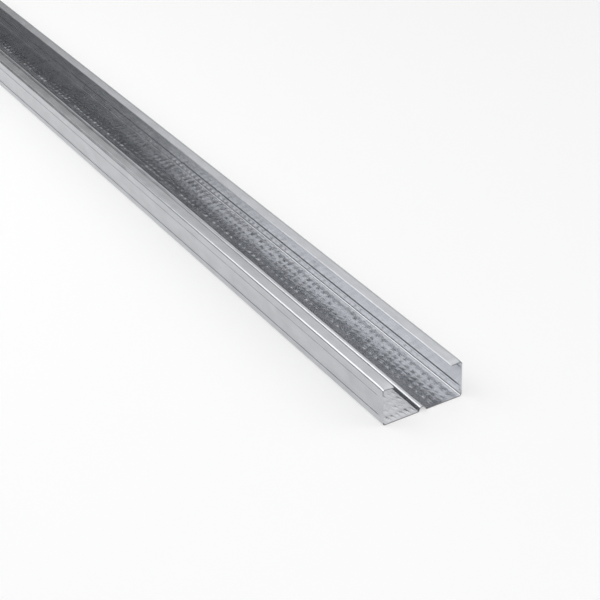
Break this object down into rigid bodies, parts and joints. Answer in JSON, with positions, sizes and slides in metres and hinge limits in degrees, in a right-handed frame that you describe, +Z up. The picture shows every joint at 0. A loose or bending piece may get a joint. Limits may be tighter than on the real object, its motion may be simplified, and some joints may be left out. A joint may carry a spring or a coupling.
{
  "type": "ceiling furring channel",
  "caption": "Straight roll-formed galvanised steel C-channel with inturned lips, a ribbed web and beaded flanges, for carrying ceiling boards under hangers.",
  "frame": {"origin": "middle of the length, on the underside of the web, midway between the flanges", "axes": "+X along the length, +Y across the web, +Z up from the web to the open side"},
  "size_m": [2.6, 0.06, 0.027],
  "materials": {
    "galvanised_steel": "hot-dip galvanised, satin, knurled web"
  },
  "bodies": {
    "root": {"furring_channel": "galvanised_steel"}
  },
  "joints": []
}
